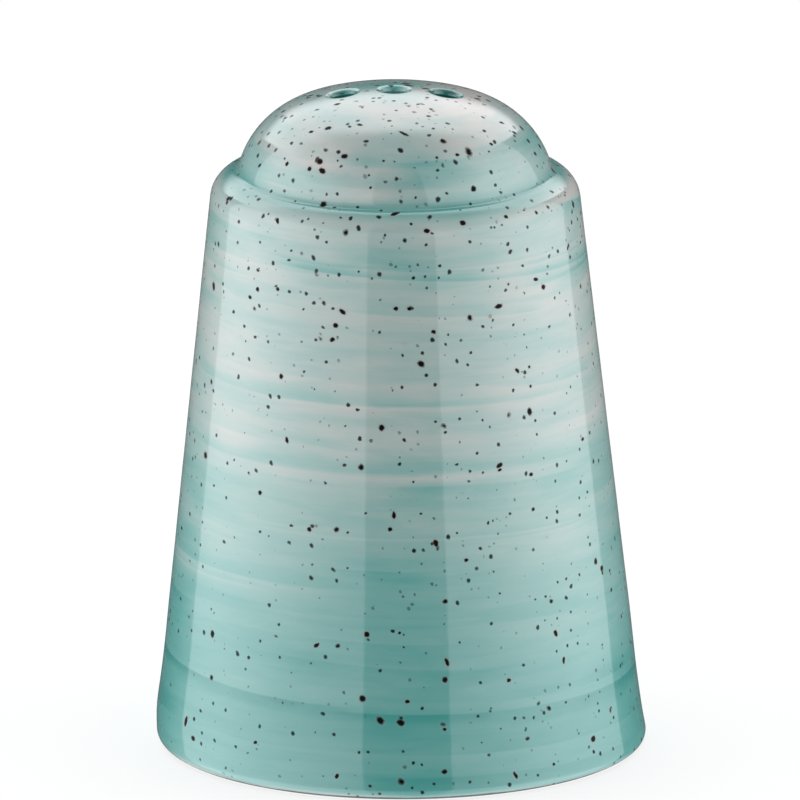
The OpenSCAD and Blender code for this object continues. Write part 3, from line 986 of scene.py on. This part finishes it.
def body_grids(sizes, holes):
    """The body's grids of settled points, and for each the depth of pooled glaze and painted shade, bare clay
    and the inside.

    The glaze gathers deep in the crease, where its teal is pooled glaze and painted shade, and in the
    recess's corner, is thin on the shoulder's edge and on the wall's lowest edge, and leaves the foot ring's
    flat bare. Down the pour holes' bores its deep teal is pooled glaze and painted shade.
    """
    outline = BodyOutline(sizes, holes)
    outer, inner = outline.outside(), outline.inside()
    whole = chain(outer, inner)
    radius, height = whole.T
    crease_pool_and_shade_at = outline.crease + np.array([0.6, -0.25]) * MM
    edge_way = direction((outline.land + sizes.wall_taper) / 2)
    thin_at = outline.shoulder_centre + sizes.shoulder_round * edge_way
    recess_corner = np.array([outline.recess_radius, sizes.recess_depth])
    ring_inner, ring_outer = outline.recess_radius + sizes.ring_round, outline.foot_centre[0]
    # the crease's deeper teal is pooled glaze and painted shade; the recess's corner holds pooled glaze
    pool_and_shade = (0.62 * hump(distances(whole, crease_pool_and_shade_at), 0.95 * MM)
            - 0.10 * hump(distances(whole, thin_at), 1.0 * MM)
            - 0.9 * hump(height, 0.75 * MM) * (radius > ring_outer)
            + 0.5 * hump(distances(whole, recess_corner), 1.5 * MM))
    beyond = (height < sizes.foot_round) & (radius > (ring_inner + ring_outer) / 2)
    past_ring = np.maximum(radius - ring_outer, 0) / (0.95 * MM)
    off_ring = np.hypot(np.maximum(ring_inner - radius, 0), height)
    bare = np.where(beyond, np.exp(-past_ring**4), hump(off_ring, 0.28 * MM))
    inside = np.arange(len(whole)) >= len(outer)

    grids = [turned(whole, SEGMENTS)]
    spread = np.ones((1, SEGMENTS))
    pool_and_shade_rows, bares, insides = [[rows[:, None] * spread] for rows in (pool_and_shade, bare, inside)]
    for index, (bore_glaze_and_shade, starts) in zip((-1, 0, 1), HOLE_GLAZE_AND_SHADE):
        cap, depth, under = pour_hole_grid(outline, holes, index)
        spread = np.ones((1, cap.shape[1]))
        # the deep teal down each bore is pooled glaze and painted shade inside the hole
        bore_pool_and_shade = bore_glaze_and_shade * ramp(depth, start=starts - 0.1, reach=0.2)
        ran = 0.75 * hump(cap[..., 0], 3.4 * MM) * hump(cap[..., 1] - 2.7 * MM, 1.2 * MM)
        grids.append(cap)
        pool_and_shade_rows.append(bore_pool_and_shade[:, None] * spread + ran)
        bares.append(np.zeros(cap.shape[:2]))
        insides.append(under[:, None] * spread)
    return outline, [settle(grid, sizes) for grid in grids], pool_and_shade_rows, bares, insides


class SHAKER_OT_make_body(bpy.types.Operator):
    """Make the glazed porcelain body with its pour holes, foot ring and fill hole"""

    bl_idname = "shaker.make_body"
    bl_label = "Glazed body"

    def execute(self, context):
        sizes, holes = context.scene.shaker_body, context.scene.shaker_pour_holes
        look = context.scene.shaker_glaze
        outline, grids, pool_and_shade_rows, bares, insides = body_grids(sizes, holes)
        mesh = plain_mesh("glazed_body", grids, {"glaze_pool_and_shade": pool_and_shade_rows, "bare_foot": bares, "inside": insides})
        lining = np.zeros(len(mesh.vertices), np.float32)
        mesh.attributes["inside"].data.foreach_get("value", lining)
        corners = np.zeros(len(mesh.loops), np.int32)
        mesh.loops.foreach_get("vertex_index", corners)
        starts = np.zeros(len(mesh.polygons), np.int32)
        mesh.polygons.foreach_get("loop_start", starts)
        share = np.add.reduceat(lining[corners], starts) / np.diff(np.append(starts, len(corners)))
        show("glazed_body", mesh, "body", "shaker_body", "glazed_porcelain",
             speckled_glaze(look, outline), liner_glaze(look))
        mesh.polygons.foreach_set("material_index", (share > LINED_SHARE).astype(np.int32))
        mesh.attributes.remove(mesh.attributes["inside"])
        return {"FINISHED"}


def stopper_outline(sizes, fill_width, recess_depth, fill_round, floor):
    """From the flange's underside out, over its edge, up the ribbed plug and in over its end."""
    low, high, soft = STOPPER_LOW.z, STOPPER_HIGH.z, sizes.soft_edge
    flange_step, soft_step, rib_step = 0.1 * MM, 0.08 * MM, 0.05 * MM
    seal = fill_width / 2 - sizes.seal_clearance
    plug = seal - sizes.rib_height
    edge = sizes.flange_thickness / 3
    edge_at = sizes.flange_width / 2 - edge
    rows = [run((plug - sizes.plug_wall + soft, low), (edge_at, low)),
            arc((edge_at, low + edge), edge, -QUARTER, 0, flange_step),
            arc((edge_at, recess_depth - edge), edge, 0, QUARTER, flange_step),
            arc((plug + soft, recess_depth + soft), soft, 3 * QUARTER, math.pi, soft_step)]
    half_rib, nose = sizes.rib_width / 2, sizes.rib_width / 6
    pitch = (floor - 2 * fill_round) / sizes.ribs
    for index in range(sizes.ribs):
        middle = recess_depth + fill_round + (index + 0.5) * pitch
        rows += [[(plug, middle - half_rib)],
                 arc((seal - nose, middle), nose, -math.pi / 3, math.pi / 3, rib_step),
                 [(plug, middle + half_rib)]]
    lead = (high - recess_depth - floor) / 2
    end = plug - lead / 2
    rows += [run((plug, high - lead), (end + soft / 2, high - soft)),
             arc((end - soft / 2, high - soft), soft, 0.2, QUARTER, soft_step),
             run((end - soft / 2, high), (0, high))]
    return chain(*rows)


def finger_well_grid(sizes, plug, side):
    """One half of the finger well: D-shaped rings that climb from the mouth to the well's top.

    A ring is bounded by a circle, whose radius starts with a soft edge and ends in a round corner, and by the
    line of the pull bar's side, which follows the bar's rounded lower edge. Its points lie on rays from the
    D's middle, where the nearer of the two ends the ray, blended where they meet.
    """
    edge_rows, side_rows, corner_rows, top_rows, crest_points = 12, 14, 14, 8, 40
    low, top, soft = STOPPER_LOW.z, STOPPER_HIGH.z - sizes.plug_end, sizes.soft_edge
    corner, bar, foot = sizes.plug_end, sizes.bar / 2, 0.45 * MM
    well = plug - sizes.plug_wall
    heights = np.unique(np.concatenate([
        low + bar * (1 - np.cos(np.linspace(0, QUARTER, edge_rows))),
        np.linspace(low + bar, top - corner, side_rows),
        top - corner * (1 - np.sin(np.linspace(0, QUARTER, corner_rows)))]))
    circle = well + drawn_in(soft, low + soft - heights) - drawn_in(corner, heights - top + corner)
    line = bar - drawn_in(bar, low + bar - heights) + drawn_in(foot, heights - top + foot)

    ring = np.arange(PLUG_SEGMENTS // 2 + 1) * math.tau / PLUG_SEGMENTS
    crest = np.linspace(-1, 1, crest_points + 2)[1:-1] * circle[0]
    border = np.vstack([circle[0] * direction(ring), np.stack([crest, np.zeros(len(crest))], -1)])
    middle = np.array([0, well / 2])
    ray = border - middle
    ray = ray / np.linalg.norm(ray, axis=1, keepdims=True)
    along = ray @ middle
    to_circle = -along + np.sqrt(along**2 - middle @ middle + circle[:, None]**2)
    down = np.minimum(ray[:, 1], -WELD)
    to_line = np.where(ray[:, 1] < -WELD, (line[:, None] - middle[1]) / down, 1.0)
    blend = np.clip((heights - low) / (1.5 * MM), 0.001, 1)[:, None] * 0.35 * MM
    nearer = np.minimum(to_circle, to_line)
    reach = nearer - blend * np.log1p(np.exp(-np.abs(to_circle - to_line) / blend))
    reach[0] = nearer[0]
    flat = middle + reach[..., None] * ray
    top_share = np.linspace(1, 0, top_rows)[1:, None, None]
    flat = np.concatenate([flat, middle + (flat[-1] - middle) * top_share])
    tall = np.concatenate([heights, np.full(len(top_share), top)])
    grid = np.concatenate([flat, np.broadcast_to(tall[:, None, None], (*flat.shape[:2], 1))], axis=2)
    return grid * np.array([side, side, 1])


class SHAKER_OT_make_stopper(bpy.types.Operator):
    """Make the soft stopper with its flange, sealing ribs, finger well and pull bar"""

    bl_idname = "shaker.make_stopper"
    bl_label = "Stopper"

    def execute(self, context):
        body, sizes = context.scene.shaker_body, context.scene.shaker_stopper
        outline = stopper_outline(sizes, body.fill_width, body.recess_depth, body.fill_round, body.floor)
        plug = body.fill_width / 2 - sizes.seal_clearance - sizes.rib_height
        grids = [turned(outline, PLUG_SEGMENTS)] + [finger_well_grid(sizes, plug, side) for side in (1, -1)]
        handled = [np.zeros(grids[0].shape[:2])]
        handled += [1 - ramp(np.abs(half[..., 1]), start=1.2 * MM, reach=3 * MM) for half in grids[1:]]
        mesh = plain_mesh("stopper_plug", grids, {"handled": handled})
        show("stopper_plug", mesh, "stopper", "stopper", "stopper_silicone", stopper_silicone())
        return {"FINISHED"}


# ---------------------------------------------------------------- studio


def tall_panel(name):
    """Light that comes from a tall panel beside the object, for a direction given in degrees.

    An even sheet lies between two azimuths, and a glow * exp(-((azimuth - middle) / spread)^2) lies over it
    and spills past both edges. Both dim upwards to a share of their strength, and fade out near the zenith.
    """
    wanted = "Azimuth Elevation From To Sheet Middle Spread Glow High"
    tree, given, out = shader_group(name, wanted, "Radiance")
    from_start = minus(tree, given["Azimuth"], given["From"])
    to_end = minus(tree, given["To"], given["Azimuth"])
    sheet = times(tree, fade(tree, from_start, -0.6, 0.6), fade(tree, to_end, -0.6, 0.6))
    glow = bell(tree, over(tree, minus(tree, given["Azimuth"], given["Middle"]), given["Spread"]))
    for spill in (from_start, to_end):
        glow = times(tree, glow, fade(tree, spill, -38.0, 19.0))
    radiance = plus(tree, times(tree, sheet, given["Sheet"]), times(tree, glow, given["Glow"]))
    for share in (fade(tree, given["Elevation"], 26.0, 50.0, low=1.0, high=given["High"]),
                  fade(tree, given["Elevation"], 72.0, 48.0),
                  fade(tree, given["Elevation"], -60.0, -25.0, low=0.5)):
        radiance = times(tree, radiance, share)
    connect(tree, out, {"Radiance": radiance})
    return tree


def top_panel(tree, way, axes):
    """How much of a direction the panel above and behind covers, from 0 to 1.

    Its plane faces down and is tilted; a direction meets it at (across, back), at distance 1.
    """
    tilt = math.radians(15)
    facing = vector_maths(tree, "DOT_PRODUCT", way, (0, math.sin(tilt), math.cos(tilt)))
    facing = larger(tree, facing, 0.05)
    across = over(tree, axes["X"], facing)
    back = vector_maths(tree, "DOT_PRODUCT", way, (0, math.cos(tilt), -math.sin(tilt)))
    back = over(tree, back, facing)
    covered = 1.0
    for edge in (fade(tree, across, -1.25, -1.19), fade(tree, across, 0.98, 0.92),
                 fade(tree, back, -0.05, 0.4), fade(tree, back, 2.0, 1.15)):
        covered = times(tree, covered, edge)
    return covered


def studio_light(look):
    """The world: two tall panels, one above and behind, and a dim room. Azimuths run from the front."""
    room = bpy.data.worlds.new("room")
    room.use_nodes = True
    tree = room.node_tree
    tree.nodes.clear()
    way = node(tree, "ShaderNodeTexCoord").outputs["Generated"]
    axes = parts(tree, way)
    elevation = maths(tree, "DEGREES", maths(tree, "ARCSINE", axes["Z"]))
    common = {"Azimuth": azimuth_of(tree, axes), "Elevation": elevation, "Sheet": look.sheet}
    left = use(tree, tall_panel, {**common, "From": -125, "To": -17.2, "Middle": -91, "Spread": 44,
                                  "Glow": look.left_glow, "High": 0.5})
    right = use(tree, tall_panel, {**common, "From": 24.4, "To": 128, "Middle": 88, "Spread": 40,
                                   "Glow": look.right_glow, "High": 0.62})
    beside = plus(tree, left["Radiance"], right["Radiance"])
    lit = mix_value(tree, top_panel(tree, way, axes), beside, look.top_panel)

    # the room is brighter overhead and below, and has a band low in front
    overhead = fade(tree, elevation, 40.0, 70.0, low=1.0, high=3.0)
    room_light = plus(tree, overhead, fade(tree, elevation, -18.0, -35.0, high=6.0))
    low_band = times(tree, fade(tree, elevation, 7.0, 14.0), fade(tree, elevation, 34.0, 26.0, high=3.5))
    room_light = times_plus(tree, low_band, fade(tree, axes["Y"], 0.2, -0.3), room_light)
    strength = times_plus(tree, room_light, look.surroundings, lit)
    glow = node(tree, "ShaderNodeBackground", {"Color": (0.97, 0.985, 1.0, 1), "Strength": strength})
    node(tree, "ShaderNodeOutputWorld", {"Surface": glow.outputs[0]})
    return room


def glow_material(name, strength, white):
    """A pale surface that is partly its own light, so that it stays white and still shows a shadow.

    It is seen through from behind.
    """
    material, tree, shader = new_material(name)
    connect(tree, shader, {"Base Color": (white, white, white, 1), "Roughness": 0.9,
                           "Specular IOR Level": 0.0, "Emission Color": (1, 1, 1, 1),
                           "Emission Strength": strength})
    through = tree.nodes.new("ShaderNodeBsdfTransparent")
    behind = node(tree, "ShaderNodeNewGeometry").outputs["Backfacing"]
    both = node(tree, "ShaderNodeMixShader", {0: behind, 1: shader.outputs[0], 2: through.outputs[0]})
    out = next(n for n in tree.nodes if n.type == "OUTPUT_MATERIAL")
    connect(tree, out, {"Surface": both.outputs[0]})
    return material


def stage_object(name, grid, material):
    """A stage mesh from a grid of points, seen by the camera alone, so that the glaze mirrors the world."""
    points, faces = grid.reshape(-1, 3), grid_faces(grid.shape[0], grid.shape[1], 0)
    mesh = bpy.data.meshes.new(name)
    mesh.from_pydata(points.tolist(), [], faces.tolist())
    mesh.materials.append(material)
    staged = bpy.data.objects.new(name, mesh)
    bpy.context.scene.collection.objects.link(staged)
    staged.visible_diffuse = staged.visible_glossy = staged.visible_transmission = False
    staged.visible_shadow = False
    return staged


class SHAKER_OT_make_studio(bpy.types.Operator):
    """Make the camera, the lit panels, the dim room and the pale table and tent"""

    bl_idname = "shaker.make_studio"
    bl_label = "Studio"

    def execute(self, context):
        scene, look = context.scene, context.scene.shaker_studio
        lift = look.elevation
        back = Vector((0, -math.cos(lift), math.sin(lift)))
        camera = bpy.data.objects.new("camera", bpy.data.cameras.new("camera"))
        camera.data.sensor_width, camera.data.lens = 36, look.lens
        camera.location = Vector((look.aim_side, 0, look.aim_height)) + look.distance * back
        camera.rotation_euler = (math.pi / 2 - lift, 0, 0)
        camera.data.clip_start, camera.data.clip_end = 0.1, 20
        scene.collection.objects.link(camera)
        scene.camera = camera
        scene.view_settings.view_transform = "Standard"

        scene.world = studio_light(look)

        rings, bow_points = 24, 49
        flat = np.stack([np.linspace(TENT, 0, rings), np.full(rings, -TABLE_GAP)], -1)
        white = glow_material("table_white", strength=0.72, white=0.28)
        stage_object("table", turned(flat, STAGE_SEGMENTS), white)
        bow = TENT * direction(np.linspace(QUARTER, -QUARTER, bow_points))
        bow[:, 0] = np.maximum(bow[:, 0], 0)
        bow[:, 1] += (BODY_HIGH.z + BODY_LOW.z) / 2
        white = glow_material("tent_white", strength=1.0, white=0.0)
        stage_object("tent", turned(bow, STAGE_SEGMENTS), white)
        return {"FINISHED"}


class SHAKER_PT_pieces(bpy.types.Panel):
    """The shaker's pieces, sizes and looks"""

    bl_idname = "SHAKER_PT_pieces"
    bl_label = "Spice shaker"
    bl_space_type = "VIEW_3D"
    bl_region_type = "UI"
    bl_category = "Shaker"

    def draw(self, context):
        for operator in OPERATORS:
            self.layout.operator(operator.bl_idname)
        for store, group in SETTINGS.items():
            box = self.layout.box()
            box.label(text=store.replace("_", " "))
            for name in group.__annotations__:
                box.prop(getattr(context.scene, store), name)


SETTINGS = {
    "shaker_body": ShakerBodySizes,
    "shaker_pour_holes": ShakerPourHoles,
    "shaker_stopper": ShakerStopperSizes,
    "shaker_glaze": ShakerGlazeLook,
    "shaker_studio": ShakerStudio,
}
OPERATORS = (SHAKER_OT_make_studio, SHAKER_OT_make_body, SHAKER_OT_make_stopper)


def register():
    """Adds the add-on's classes and the scene's settings."""
    for group in (*SETTINGS.values(), *OPERATORS, SHAKER_PT_pieces):
        bpy.utils.register_class(group)
    for store, group in SETTINGS.items():
        setattr(bpy.types.Scene, store, PointerProperty(type=group))


def unregister():
    """Takes them away again."""
    for store in SETTINGS:
        delattr(bpy.types.Scene, store)
    for group in (SHAKER_PT_pieces, *OPERATORS, *SETTINGS.values()):
        bpy.utils.unregister_class(group)


def main():
    """Makes the studio and both pieces."""
    register()
    bpy.ops.shaker.make_studio()
    bpy.ops.shaker.make_body()
    bpy.ops.shaker.make_stopper()


if __name__ == "__main__":
    main()
